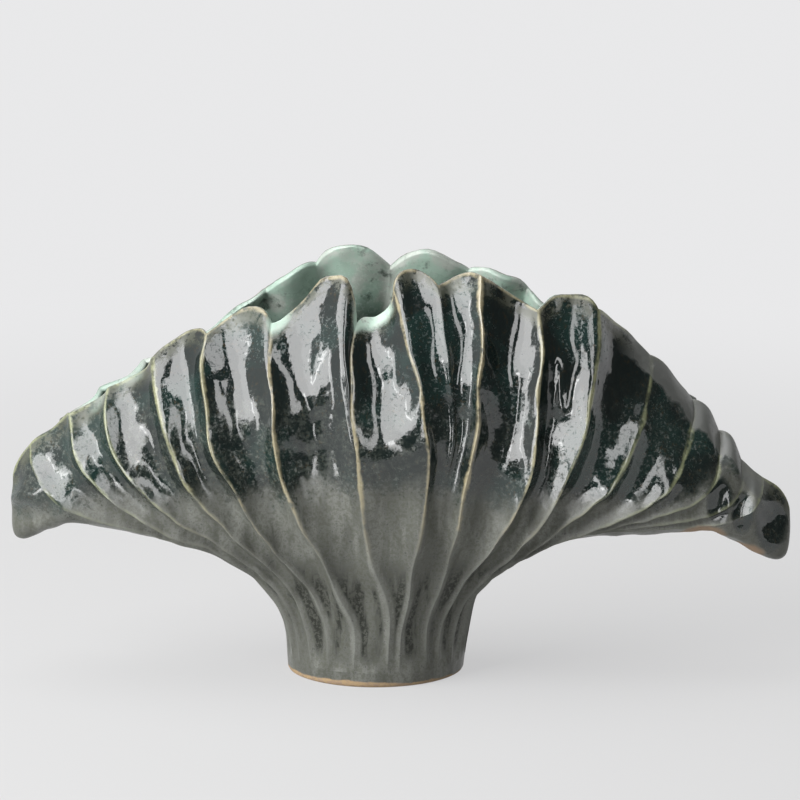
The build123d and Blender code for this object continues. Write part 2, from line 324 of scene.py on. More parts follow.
@dataclass
class VaseForm:
    """Sizes of the vase in millimetres, and the ribs that follow from them.

    Attributes:
        stem_twist: how far the stem's flutes turn, in degrees.
        wall, rim_wall: thickness of the clay below the rim and at it.
        lip_round: height of the rounded lip.
        keel_shoulder: height of the shoulder row under a wing.
        belly_pinch, mouth_pinch: how fast the fan's depth falls towards the tips.
        fan_lean: how far the middle of the belly leans to the left.
        dome_power: how soon the rim falls towards a tip, less for a flatter crown.
        tip_start: station up the keel where a tip begins.
        droop: how far a tip hangs.
        flute_depths: depth of a flute in each row.
        full_flute_width: width from which a flute has that depth.
        row_stations: station of each row.
        angle_step, rib_step: steps over which the fan's direction is taken.
        lip_roll, lip_roll_start: how far the rim rolls inwards all round, and the station where that starts.
        shoulder_roll, shoulder_roll_start: the same on the right shoulder.
        shoulder_roll_span: ends of that shoulder in the front view.
    """

    foot_radius: float = 45.0
    slab_top_radius: float = 46.0
    floor_thickness: float = 8.0
    foot_chamfer: float = 1.2
    stem_top: float = 26.0
    stem_top_half_width: float = 48.5
    stem_top_half_depth: float = 47.0
    stem_twist: float = 12.0
    wall: float = 5.0
    rim_wall: float = 3.8
    lip_round: float = 1.2
    shoulder_half_width: float = 61.0
    shoulder_half_depth: float = 49.0
    shoulder_height: float = 62.0
    keel_shoulder: Sides = Sides(90.0, 101.0)
    reach: Sides = Sides(187.0, 213.0)
    belly_depth: float = 80.0
    belly_pinch: float = 0.6
    belly_height: float = 118.0
    keel_height: Sides = Sides(58.0, 50.0)
    tip_overhang: float = 14.0
    fan_lean: float = 8.0
    mouth_half_depth: float = 35.0
    mouth_pinch: float = 1.6
    crown_height: float = 204.0
    tip_height: Sides = Sides(104.0, 90.0)
    dome_power: Sides = Sides(1.8, 1.7)
    tip_start: float = 0.64
    droop: Sides = Sides(22.0, 26.0)
    flute_depths: tuple[float, ...] = (2.0, 5.0, 12.0, 9.0)
    full_flute_width: float = 32.0
    row_stations: tuple[float, ...] = (0.0, 1 / 3, 2 / 3, 1.0)
    angle_step: float = 0.01
    rib_step: float = 0.001
    lip_roll: float = 1.6
    lip_roll_start: float = 0.94
    shoulder_roll: float = 14.0
    shoulder_roll_start: float = 0.66
    shoulder_roll_span: Span = (95.0, 195.0)

    @staticmethod
    def loop_angle(share: float, back: bool) -> float:
        """Loop angle of a place on a wall: 0 is the front, a quarter turn the right tip."""
        return pi - asin(share) if back else asin(share)

    def stem_turn(self, angle: float) -> float:
        """Angle round the stem, from the front towards the right, of the rib at this loop angle."""
        quarter = radians(90) * sin(angle)
        twist = radians(self.stem_twist) * abs(cos(angle))
        return twist + (quarter if cos(angle) >= 0 else pi - quarter)

    def on_stem(self, angle: float, half_width: float, half_depth: float, height: float) -> Vector:
        """Point of an oval round the stem, on the rib at this loop angle."""
        turn = self.stem_turn(angle)
        return Vector((half_width * sin(turn), -half_depth * cos(turn), height))

    def radial(self, angle: float) -> Vector:
        """Level direction straight out of the stem."""
        return self.on_stem(angle, 1, 1, 0)

    def fan_rib(self, angle: float) -> list[Vector]:
        """Smooth fan at a loop angle.

        Args:
            angle: loop angle in radians.

        Returns:
            Four control points: root, shoulder, belly and rim.
        """
        share = sin(angle)
        facing = cos(angle)
        depth = abs(facing)
        reach = self.reach.at(share)
        keel = self.keel_height.at(share)
        tip = self.tip_height.at(share)
        lift = self.shoulder_height + (self.keel_shoulder.at(share) - self.shoulder_height) * share**2
        belly_x = reach * share - self.fan_lean * (1 - share**4) + self.tip_overhang * share**3
        belly_y = -copysign(self.belly_depth * depth**self.belly_pinch, facing)
        belly_z = keel + (self.belly_height - keel) * depth**2
        mouth_y = -copysign(self.mouth_half_depth * depth**self.mouth_pinch, facing)
        rim_z = tip + (self.crown_height - tip) * depth ** self.dome_power.at(share)
        return [
            self.on_stem(angle, self.stem_top_half_width, self.stem_top_half_depth, self.stem_top),
            self.on_stem(angle, self.shoulder_half_width, self.shoulder_half_depth, lift),
            Vector((belly_x, belly_y, belly_z)),
            Vector((reach * share, mouth_y, rim_z)),
        ]

    @property
    def stem_handle(self) -> float:
        """Height between neighbouring rows of the stem's control points."""
        return (self.stem_top - self.floor_thickness) / 3

    def stem_rib(self, angle: float) -> list[Vector]:
        """Smooth stem at a loop angle, in line with the slab's side below and the fan above."""
        root, shoulder = self.fan_rib(angle)[:2]
        ground = self.on_stem(angle, self.foot_radius, self.foot_radius, 0.0)
        foot = self.on_stem(angle, self.slab_top_radius, self.slab_top_radius, self.floor_thickness)
        flare = (foot - ground) * (self.stem_handle / self.floor_thickness)
        lean = (shoulder - root) * (self.stem_handle / (shoulder.z - root.z))
        return [foot, foot + flare, root - lean, root]

    def fan_normal(self, angle: float, station: float) -> Vector:
        """Outward direction of the smooth fan, level at the root."""
        if station == 0:
            return self.radial(angle)
        high = min(station + self.rib_step, 1.0)
        right = along(self.fan_rib(angle + self.angle_step), station)
        left = along(self.fan_rib(angle - self.angle_step), station)
        here = self.fan_rib(angle)
        upward = along(here, high) - along(here, station - self.rib_step)
        return (right - left).cross(upward).normalized()

    def fan_column(self, angle: float, pressed: tuple[float, ...] = UNPRESSED, sway: float = 0.0,
                   drop: float = 0.0, ruffle: float = 0.0) -> Rib:
        """Rib of the fan at a loop angle.

        Args:
            angle: loop angle in radians.
            pressed: share of a flute's depth that each row is pressed in by.
            sway: shift to the right at the belly.
            drop: shift downwards at the belly.
            ruffle: height of the rim above the dome.

        Returns:
            The points that both skins pass through.
        """
        walls = (self.wall, self.wall, self.wall, self.rim_wall)
        outer: list[Vector] = []
        inner: list[Vector] = []
        for row, point in zip(Row, self.fan_rib(angle)):
            normal = self.fan_normal(angle, self.row_stations[row])
            outer.append(point - normal * (self.flute_depths[row] * pressed[row]))
            inner.append(outer[-1] - normal * walls[row])
        for skin in (outer, inner):
            skin[Row.BELLY] = skin[Row.BELLY] + Vector((sway, 0, -drop))
            skin[Row.RIM] = skin[Row.RIM] + Vector((0, 0, ruffle))
        return Rib(outer, inner)

    def stem_column(self, angle: float, pressed: tuple[float, ...] = UNPRESSED, **fan_only: float) -> Rib:
        """Rib of the stem at a loop angle, whose flutes fade out at the foot.

        Args:
            angle: loop angle in radians.
            pressed: share of a flute's depth that the root and the shoulder are pressed in by.
            fan_only: values that shape the fan alone.

        Returns:
            The points that both skins pass through.
        """
        root_depth = self.flute_depths[Row.ROOT] * pressed[Row.ROOT]
        deepening = self.flute_depths[Row.SHOULDER] * pressed[Row.SHOULDER] - root_depth
        upper_depth = root_depth - deepening * self.stem_handle / (self.shoulder_height - self.stem_top)
        normal = self.radial(angle)
        depths = (0.0, root_depth, upper_depth, root_depth)
        outer = [point - normal * depth for point, depth in zip(self.stem_rib(angle), depths)]
        inner = [point - normal * self.wall for point in outer]
        return Rib(outer, inner)

    def flutes(self, pleats: tuple[Pleat, ...], back: bool, stem: bool = False) -> list[Flute]:
        """Flutes of a pleated wall or of the stem below it.

        Args:
            pleats: the wall's pleats, from left to right.
            back: whether it is the back wall.
            stem: whether the ribs are the stem's.

        Returns:
            One flute for each pair of neighbouring crests.
        """
        column = self.stem_column if stem else self.fan_column
        angles = [self.loop_angle(pleat.place, back) for pleat in pleats]
        crests = []
        for angle, pleat in zip(angles, pleats):
            pressed = (pleat.sunk, pleat.sunk, pleat.sunk, pleat.faded)
            crests.append(column(angle, pressed, sway=pleat.sway, drop=pleat.drop, ruffle=pleat.crest))
        flutes = []
        for index, (pleat, following) in enumerate(zip(pleats, pleats[1:])):
            rims = [self.fan_rib(angle)[Row.RIM] for angle in angles[index : index + 2]]
            depth_share = min(1.0, (rims[0] - rims[1]).length / self.full_flute_width)
            middle = column(
                self.loop_angle((pleat.place + following.place) / 2, back),
                pressed=(depth_share,) * len(Row),
                sway=(pleat.sway + following.sway) / 2,
                drop=(pleat.drop + following.drop) / 2,
                ruffle=pleat.flute,
            )
            flutes.append(Flute(crests[index], middle, crests[index + 1], left_line=not pleat.sunk,
                                right_line=not following.sunk, peak=pleat.peak, fullness=pleat.fullness))
        return flutes

    def keel_flute(self, front: Rib, back: Rib, wing: Wing, stem: bool = False) -> Flute:
        """Strip under a wing, from the front wall's end to the back wall's end.

        Args:
            front: end rib of the front wall.
            back: end rib of the back wall.
            wing: the wing.
            stem: whether the ribs are the stem's.

        Returns:
            The strip, whose left side is the front one on the right wing and the back one on the left wing.
        """
        column = self.stem_column if stem else self.fan_column
        first, last = (front, back) if wing is Wing.RIGHT else (back, front)
        return Flute(first, column(wing * pi / 2), last, softness=0.0)

    def dome(self, x: float) -> float:
        """Height of the smooth rim at a place across the front view."""
        tip = self.tip_height.at(x)
        share = min(1.0, abs(x) / self.reach.at(x))
        return tip + (self.crown_height - tip) * (1 - share**2) ** (self.dome_power.at(x) / 2)

    def rolled(self, point: Vector, station: float) -> Vector:
        """A point near the rim after the rim is rolled over, gently all round and more on the right shoulder.

        Args:
            point: a place on the clay.
            station: 0 at the root, 1 at the rim.

        Returns:
            The place on the rolled clay.
        """
        lip = max(0.0, (station - self.lip_roll_start) / (1 - self.lip_roll_start)) ** 2
        shoulder = max(0.0, (station - self.shoulder_roll_start) / (1 - self.shoulder_roll_start)) ** 2
        low, high = self.shoulder_roll_span
        along_wing = max(0.0, 1 - ((2 * point.x - low - high) / (high - low)) ** 2)
        inward = -max(-1.0, min(1.0, point.y / self.wall))
        shift = self.lip_roll * lip * inward
        if point.y < 0:
            shift += self.shoulder_roll * shoulder * along_wing * inward
        return point + Vector((0, shift, 0))


@dataclass(frozen=True)
class Mark:
    """A soft line pressed into the front wall, or standing proud where its depth is negative.

    Attributes:
        start, end: its ends as X and Z in the front view.
        width: its half width.
        depth: how deep it goes.
    """

    start: Pair
    end: Pair
    width: float
    depth: float

    def press(self, x: float, z: float) -> float:
        """Depth of the mark at a place in the front view."""
        run_x = self.end[0] - self.start[0]
        run_z = self.end[1] - self.start[1]
        share = (x - self.start[0]) * run_x + (z - self.start[1]) * run_z
        share = min(1.0, max(0.0, share / (run_x * run_x + run_z * run_z)))
        gap_x = x - self.start[0] - share * run_x
        gap_z = z - self.start[1] - share * run_z
        return self.depth * exp(-(gap_x * gap_x + gap_z * gap_z) / (self.width * self.width))


@dataclass(frozen=True)
class Pull:
    """A soft pull on the clay round a place in the front view.

    Attributes:
        x, z: the place.
        half_width, half_height: how far it reaches.
        shift: how far it moves the clay there.
    """

    x: float
    z: float
    half_width: float
    half_height: float
    shift: Triple

    def moved(self, point: Vector) -> Vector:
        """How far a point is moved."""
        across = (point.x - self.x) / self.half_width
        up = (point.z - self.z) / self.half_height
        return Vector(self.shift) * exp(-across * across - up * up)


@dataclass
class Handwork:
    """The unevenness that hands leave in the clay: broad lumps, finger dabs and a few single marks.

    Attributes:
        low, high: corners of the box that nothing may leave, in metres.
        ease: depth inside the box over which the clay's outermost places are eased off, in metres.
        lump_size, lump_height: broad lumps.
        dab_size, dab_height: finger dabs, longer up the wall than across it.
        steady_height: height over which the unevenness grows from nothing at the foot.
        front_depth: depth over which the marks grow from nothing at the wing's middle plane.
        marks: single marks on the front wall.
        pulls: pulls on the wing tips.
    """

    low: Vector
    high: Vector
    ease: float = 0.0045
    lump_size: float = 34.0
    lump_height: float = 3.0
    dab_size: Triple = (9.5, 9.5, 24.0)
    dab_height: float = 1.2
    steady_height: float = 30.0
    front_depth: float = 6.0
    marks: tuple[Mark, ...] = (
        Mark((-28.6, 176.0), (-28.6, 146.0), 2.6, -2.6),
        Mark((95.0, 168.0), (95.0, 142.0), 3.0, -2.4),
        Mark((203.0, 80.0), (203.0, 76.0), 7.0, 4.5),
        Mark((188.0, 90.0), (186.0, 80.0), 4.5, 2.8),
        Mark((176.0, 98.0), (174.0, 88.0), 4.5, 2.8),
    )
    pulls: tuple[Pull, ...] = (
        Pull(-181.0, 70.0, 12.0, 12.0, (0.0, 0.0, -3.0)),
        Pull(-157.0, 72.0, 11.0, 11.0, (0.0, 0.0, 3.0)),
        Pull(-182.0, 93.0, 13.0, 5.0, (0.0, -4.5, 0.0)),
        Pull(-182.0, 83.0, 15.0, 5.0, (1.5, 3.5, 0.0)),
        Pull(-190.0, 100.0, 9.0, 10.0, (3.0, 0.0, -5.0)),
        Pull(216.0, 88.0, 7.0, 13.0, (0.0, 0.0, -9.0)),
    )

    def shaped(self, point: Vector) -> Vector:
        """A point of the smooth form after handling.

        Args:
            point: a place on the clay, in millimetres.

        Returns:
            The same place on the handled clay, in metres and inside the box.
        """
        grown = min(1.0, max(0.0, point.z / self.steady_height))
        moved = point + noise.noise_vector(point / self.lump_size) * (self.lump_height * grown)
        dabs = Vector(value / size for value, size in zip(point, self.dab_size))
        moved = moved + noise.noise_vector(dabs) * (self.dab_height * grown)
        front = min(1.0, max(0.0, -point.y / self.front_depth))
        if front:
            moved.y += front * sum(mark.press(point.x, point.z) for mark in self.marks)
        for pull in self.pulls:
            moved += pull.moved(point)
        placed = moved * MM
        inside = Vector(self.eased(value, high) for value, high in zip(placed, self.high))
        inside.x = -self.eased(-inside.x, -self.low.x)
        inside.y = -self.eased(-inside.y, -self.low.y)
        inside.z = max(inside.z, self.low.z)
        return inside

    def eased(self, value: float, limit: float) -> float:
        """A value that nears an upper limit softly and never passes it."""
        over = value - (limit - self.ease)
        return limit - self.ease * exp(-over / self.ease) if over > 0 else value


def finished(bm: bmesh.types.BMesh, name: str) -> bpy.types.Object:
    """Object made from a bmesh, smooth shaded and linked to the scene.

    Args:
        bm: the shape, which is freed.
        name: name of the object.

    Returns:
        The object.
    """
    for face in bm.faces:
        face.smooth = True
    mesh = bpy.data.meshes.new(name)
    bm.to_mesh(mesh)
    bm.free()
    piece = bpy.data.objects.new(name, mesh)
    bpy.context.scene.collection.objects.link(piece)
    return piece


def dress(piece: bpy.types.Object, node: str, material: bpy.types.Material) -> None:
    """Give a piece its finish and put it in the place of its CAD node.

    Args:
        piece: the finished object.
        node: the CAD node that it stands for.
        material: the finish.
    """
    piece.data.materials.append(material)
    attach(piece, BODY)
    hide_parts(node)
    LOG.info("%s: %d faces for %s", piece.name, len(piece.data.polygons), node)


@dataclass
class Track:
    """One column of a clay sheet: the rib under it and the crest line that is nearest to it.

    Attributes:
        rib: the wall there.
        crest: the rib of the nearest crest that carries a pale line, if there is one.
    """

    rib: Rib
    crest: Rib | None


@dataclass
class ClaySheet:
    """A sheet of clay folded over its upper edge, which every piece of the fan and the stem is made from.

    Attributes:
        form: sizes of the vase.
        hands: unevenness of the clay.
        across: columns of faces in one flute.
        upward: rows of faces up one skin.
        lip_rows: rows of vertices over the lip.
        first_row: share of the height of the lowest row, which keeps the shading in line at the seam.
        valley_depth: how far below the dome a valley of the rim begins, and where it is full.
        no_crest, no_rim: distances that stand for none near.
        weld: distance within which vertices are one, in metres.
    """

    form: VaseForm
    hands: Handwork
    across: int = 16
    upward: int = 72
    lip_rows: int = 5
    first_row: float = 0.004
    valley_depth: Span = (7.0, 12.0)
    no_crest: float = 60.0
    no_rim: float = 400.0
    weld: float = 1e-6

    def tracks(self, flutes: list[Flute]) -> list[Track]:
        """Columns of a run of flutes, closer together near the crests."""
        result: list[Track] = []
        for index, flute in enumerate(flutes):
            for step in range(0 if index == 0 else 1, self.across + 1):
                share = (1 - cos(pi * step / self.across)) / 2
                result.append(Track(flute.rib(share), flute.line_crest(share)))
        return result

    def stations(self, high: float) -> list[float]:
        """Places up a rib where the rows lie, from its root to the upper edge."""
        rows = [high * (self.first_row + (1 - self.first_row) * step / (self.upward - 1))
                for step in range(self.upward)]
        return [0.0] + rows

    def valley(self, rim: Vector) -> float:
        """1 in a valley of the rim and 0 elsewhere."""
        start, full = self.valley_depth
        return max(0.0, min(1.0, (self.form.dome(rim.x) - rim.z - start) / (full - start)))

    def mesh(self, name: str, tracks: list[Track], high: float = 1.0, lip: bool = True, ring: bool = False,
             fan: bool = True) -> bpy.types.Object:
        """Folded sheet from the root of its ribs up to a station.

        Args:
            name: name of the piece.
            tracks: columns from left to right.
            high: station of the upper edge.
            lip: whether the upper edge is a rounded lip.
            ring: whether the last column meets the first.
            fan: whether heights count towards the fan's rim.

        Returns:
            The finished object.
        """
        stations = self.stations(high)
        lip_rows = self.lip_rows if lip else 0
        total = 2 * len(stations) + lip_rows
        bm = bmesh.new()
        crest_gap, rim_gap, inside, valley = (bm.verts.layers.float.new(layer.value) for layer in Layer)
        bmesh.ops.create_grid(bm, x_segments=len(tracks) - 1, y_segments=total - 1, size=0.5)
        grid: dict[tuple[int, int], bmesh.types.BMVert] = {}
        for vert in bm.verts:
            column = round((vert.co.x + 0.5) * (len(tracks) - 1))
            row = round((vert.co.y + 0.5) * (total - 1))
            grid[column, row] = vert
        for column, track in enumerate(tracks):
            rim = along(track.rib.outer, 1.0)
            dip = self.valley(rim) if fan else 0.0
            for row in range(total):
                vert = grid[column, row]
                point, station, inward = self.row_point(track.rib, stations, lip_rows, row)
                vert.co = self.hands.shaped(self.form.rolled(point, station) if fan else point)
                vert[inside] = inward
                vert[valley] = dip
                vert[rim_gap] = (point - rim).length if fan else self.no_rim
                vert[crest_gap] = self.no_crest
                if track.crest is not None:
                    skin = Skin.INNER if inward > 0.5 else Skin.OUTER
                    vert[crest_gap] = (point - along(track.crest.points(skin), station)).length
        self.close(bm, grid, len(stations), ring)
        return finished(bm, name)

    def row_point(self, rib: Rib, stations: list[float], lip_rows: int,
                  row: int) -> tuple[Vector, float, float]:
        """Point of one row of the folded sheet.

        Args:
            rib: the wall in this column.
            stations: places of the rows up a skin.
            lip_rows: rows over the lip.
            row: 0 at the foot of the outer skin, the last at the foot of the inner one.

        Returns:
            The point in millimetres, its station, and 0 outside to 1 inside.
        """
        count = len(stations)
        if row < count:
            return along(rib.outer, stations[row]), stations[row], 0.0
        if row >= count + lip_rows:
            station = stations[2 * count + lip_rows - 1 - row]
            return along(rib.inner, station), station, 1.0
        turn = pi * (row - count + 1) / (lip_rows + 1)
        outer = rib.outer[Row.RIM]
        inner = rib.inner[Row.RIM]
        upward = (outer - rib.outer[Row.BELLY]).normalized()
        half = (outer - inner) * 0.5
        point = (outer + inner) * 0.5 + half * cos(turn) + upward * (self.form.lip_round * sin(turn))
        return point, 1.0, (1 - cos(turn)) / 2

    def close(self, bm: bmesh.types.BMesh, grid: dict[tuple[int, int], bmesh.types.BMVert], rows: int,
              ring: bool) -> None:
        """Close the sheet along its lower edge and its ends, with hidden edges kept sharp.

        Args:
            bm: the sheet.
            grid: its vertices by column and row.
            rows: rows of one skin.
            ring: whether the last column meets the first.
        """
        last_column, last_row = max(grid)

        def run(cells: list[tuple[int, int]]) -> list[bmesh.types.BMEdge]:
            """Edges between neighbouring cells, made sharp."""
            edges = []
            for first, second in zip(cells, cells[1:]):
                edge = bm.edges.get((grid[first], grid[second]))
                edge.smooth = False
                edges.append(edge)
            return edges

        def level(row: int) -> list[bmesh.types.BMEdge]:
            """Edges along a row, made sharp."""
            return run([(column, row) for column in range(last_column + 1)])

        lower = level(0) + level(last_row)
        if last_row + 1 == 2 * rows:
            level(rows - 1)
            level(rows)
        if ring:
            bmesh.ops.remove_doubles(bm, verts=bm.verts, dist=self.weld)
            bmesh.ops.bridge_loops(bm, edges=[edge for edge in bm.edges if edge.is_boundary])
        else:
            bmesh.ops.bridge_loops(bm, edges=lower)
            for column in (0, last_column):
                ends = run([(column, row) for row in range(rows)])
                ends += run([(column, row) for row in range(last_row + 1 - rows, last_row + 1)])
                bmesh.ops.bridge_loops(bm, edges=ends)
        holes = [edge for edge in bm.edges if edge.is_boundary]
        bmesh.ops.holes_fill(bm, edges=holes, sides=0)
        bmesh.ops.recalc_face_normals(bm, faces=bm.faces)


@dataclass
class PleatedWall:
    """Front or back wall of the fan.

    Attributes:
        sheet: the clay that it is made from.
        pleats: its pleats, from left to right.
        back: whether it is the back wall.
    """

    sheet: ClaySheet
    pleats: tuple[Pleat, ...]
    back: bool

    def flutes(self) -> list[Flute]:
        """Flutes of the wall, from left to right."""
        return self.sheet.form.flutes(self.pleats, self.back)

    def end(self, wing: Wing) -> Rib:
        """Rib at the end of the wall on one wing."""
        flutes = self.flutes()
        return flutes[0].left if wing is Wing.LEFT else flutes[-1].right

    def build(self, name: str, node: str, material: bpy.types.Material) -> None:
        """Make the wall and dress it."""
        piece = self.sheet.mesh(name, self.sheet.tracks(self.flutes()))
        dress(piece, node, material)


@dataclass
class WingEnd:
    """Keel strip and hanging tip that close one wing.

    Attributes:
        sheet: the clay that both are made from.
        wing: the wing.
        front, back: end ribs of the two walls.
        hang: share of the wing's droop that each row of the tip's keel line hangs by.
    """

    sheet: ClaySheet
    wing: Wing
    front: Rib
    back: Rib
    hang: tuple[float, ...] = (0.0, 0.5, 1.5, 0.0)

    def hung(self, flute: Flute) -> Flute:
        """The strip's part past the tip's start, with its keel line hanging lower."""
        form = self.sheet.form
        ribs = []
        for rib in (flute.left, flute.middle, flute.right):
            ribs.append(Rib(*(upper_part(rib.points(skin), form.tip_start) for skin in Skin)))
        for skin in Skin:
            points = ribs[1].points(skin)
            for row, share in enumerate(self.hang):
                points[row] = points[row] - Vector((0, 0, share * form.droop.at(self.wing)))
        return Flute(*ribs, softness=0.0)

    def build(self, material: bpy.types.Material) -> None:
        """Make the keel strip and the tip, and dress them."""
        side = self.wing.name.lower()
        form = self.sheet.form
        flute = form.keel_flute(self.front, self.back, self.wing)
        strip = self.sheet.tracks([flute])
        keel = self.sheet.mesh(f"vase_{side}_keel", strip, high=form.tip_start, lip=False)
        dress(keel, f"{side}_keel", material)
        tip = self.sheet.mesh(f"vase_{side}_tip", self.sheet.tracks([self.hung(flute)]))
        dress(tip, f"{side}_wing_tip", material)


@dataclass
class StemCollar:
    """Fluted collar between the floor slab and the walls."""

    sheet: ClaySheet

    def build(self, name: str, node: str, material: bpy.types.Material) -> None:
        """Make the collar and dress it."""
        form = self.sheet.form
        front = form.flutes(FRONT_PLEATS, back=False, stem=True)
        back = form.flutes(BACK_PLEATS, back=True, stem=True)
        turned = [Flute(flute.right, flute.middle, flute.left) for flute in reversed(back)]
        right = form.keel_flute(front[-1].right, back[-1].right, Wing.RIGHT, stem=True)
        left = form.keel_flute(front[0].left, back[0].left, Wing.LEFT, stem=True)
        ring = front + [right] + turned + [left]
        piece = self.sheet.mesh(name, self.sheet.tracks(ring), lip=False, ring=True, fan=False)
        dress(piece, node, material)


@dataclass
class FloorSlab:
    """Round slab that closes the stem and stands on the table.

    Attributes:
        form: sizes of the vase.
        hands: unevenness of the clay.
        turn_steps: steps round the slab.
        side_steps: steps up its side.
        flat_share: share of the foot's radius where a ring keeps the underside's shading flat.
        bevel_share: share of the foot's chamfer that its corner is cut by.
        edge_share: share of the top's radius past which a place on top belongs to the edge.
        margin: distance within which a place counts as on top, and vertices as one.
    """

    form: VaseForm
    hands: Handwork
    turn_steps: int = 240
    side_steps: int = 8
    flat_share: float = 0.9
    bevel_share: float = 0.3
    edge_share: float = 0.99
    margin: float = 0.001

    def section(self) -> list[Pair]:
        """Radius and height along half of the section, from the underside's middle to the top's middle."""
        foot = self.form.foot_radius
        top = self.form.slab_top_radius
        height = self.form.floor_thickness
        chamfer = self.form.foot_chamfer
        bevel = self.bevel_share * chamfer
        points = [(0.0, 0.0), (self.flat_share * foot, 0.0), (foot - chamfer, 0.0), (foot - bevel, bevel)]
        for step in range(self.side_steps + 1):
            share = step / self.side_steps
            level = chamfer + (height - chamfer) * share
            points.append((foot + (top - foot) * level / height, level))
        return points + [(top - self.form.wall, height), (0.0, height)]

    def build(self, name: str, node: str, material: bpy.types.Material) -> None:
        """Turn the slab from half of its section, handle it like the rest of the clay and dress it."""
        edge_radius = self.edge_share * self.form.slab_top_radius
        bm = bmesh.new()
        inside = bm.verts.layers.float.new(Layer.INSIDE.value)
        verts = [bm.verts.new((x, 0, z)) for x, z in self.section()]
        edges = [bm.edges.new(pair) for pair in zip(verts, verts[1:])]
        bmesh.ops.spin(bm, geom=verts + edges, cent=(0, 0, 0), axis=(0, 0, 1), dvec=(0, 0, 0), angle=2 * pi,
                       steps=self.turn_steps, use_merge=True, use_duplicate=False)
        bmesh.ops.remove_doubles(bm, verts=bm.verts, dist=self.margin)
        bmesh.ops.recalc_face_normals(bm, faces=bm.faces)
        top = {vert for vert in bm.verts if vert.co.z > self.form.floor_thickness - self.margin}
        top_edge = {vert for vert in top if vert.co.xy.length > edge_radius}
        for edge in bm.edges:
            edge.smooth = not top_edge.issuperset(edge.verts)
        for vert in bm.verts:
            vert[inside] = 1.0 if vert in top and vert not in top_edge else 0.0
            vert.co = self.hands.shaped(vert.co)
        dress(finished(bm, name), node, material)


Value: TypeAlias = "Wire | float"


class Wire:
    """A shader socket that does sums as Python expressions."""

    def __init__(self, book: NodeBook, socket: bpy.types.NodeSocket) -> None:
        """Keep the socket and the book whose nodes it belongs to."""
        self.book = book
        self.socket = socket

    def __add__(self, other: Value) -> Wire:
        """Sum of two values."""
        return self.book.sum("ADD", self, other)

    def __radd__(self, other: Value) -> Wire:
        """Sum of two values, the other way round."""
        return self.book.sum("ADD", other, self)

    def __sub__(self, other: Value) -> Wire:
        """Difference of two values."""
        return self.book.sum("SUBTRACT", self, other)

    def __rsub__(self, other: Value) -> Wire:
        """Difference of two values, the other way round."""
        return self.book.sum("SUBTRACT", other, self)

    def __mul__(self, other: Value) -> Wire:
        """Product of two values."""
        return self.book.sum("MULTIPLY", self, other)

    def __rmul__(self, other: Value) -> Wire:
        """Product of two values, the other way round."""
        return self.book.sum("MULTIPLY", other, self)

    def __abs__(self) -> Wire:
        """The value without its sign."""
        return self.book.sum("ABSOLUTE", self, 0.0)

    def largest(self, other: Value) -> Wire:
        """The larger of two values."""
        return self.book.sum("MAXIMUM", self, other)


class NodeBook:
    """Node tree of a material or a world, written node by node."""

    def __init__(self, tree: bpy.types.NodeTree) -> None:
        """Start from an empty tree."""
        self.tree = tree
        tree.nodes.clear()

    def node(self, kind: str, settings: dict[str, object] | None = None,
             sockets: dict[str | int, object] | None = None) -> bpy.types.Node:
        """Add a node.

        Args:
            kind: the node's type.
            settings: its properties, set first.
            sockets: values or wires for its inputs.

        Returns:
            The node.
        """
        made = self.tree.nodes.new(kind)
        for key, value in (settings or {}).items():
            setattr(made, key, value)
        for key, value in (sockets or {}).items():
            if isinstance(value, Wire):
                self.tree.links.new(value.socket, made.inputs[key])
            elif made.inputs[key].type == "RGBA":
                made.inputs[key].default_value = (*value, 1.0)
            else:
                made.inputs[key].default_value = value
        return made

    def wire(self, node: bpy.types.Node, output: str | int = 0) -> Wire:
        """An output of a node."""
        return Wire(self, node.outputs[output])

    def sum(self, operation: str, first: Value, second: Value) -> Wire:
        """Math node of two values."""
        return self.wire(self.node("ShaderNodeMath", {"operation": operation}, {0: first, 1: second}))

    def rising(self, value: Wire, low: float, high: float, start: float = 0.0, end: float = 1.0) -> Wire:
        """Value eased from start to end as it goes from low to high."""
        return self.wire(self.node("ShaderNodeMapRange", {"interpolation_type": "SMOOTHSTEP"},
                                   {0: value, 1: low, 2: high, 3: start, 4: end}))

    def falling(self, value: Wire, low: float, high: float) -> Wire:
        """Value eased from 1 to 0 as it goes from low to high."""
        return self.rising(value, low, high, 1.0, 0.0)

    def blend(self, factor: Wire, first: Wire | Colour, second: Wire | Colour) -> Wire:
        """Mix of two colours."""
        mix = self.node("ShaderNodeMix", {"data_type": "RGBA"}, {0: factor, 6: first, 7: second})
        return self.wire(mix, 2)


@dataclass(frozen=True)
class Grain:
    """A noise in space.

    Attributes:
        scale: how many waves a metre holds.
        detail: how many finer waves ride on them.
        roughness: how strong those are.
    """

    scale: float
    detail: float
    roughness: float


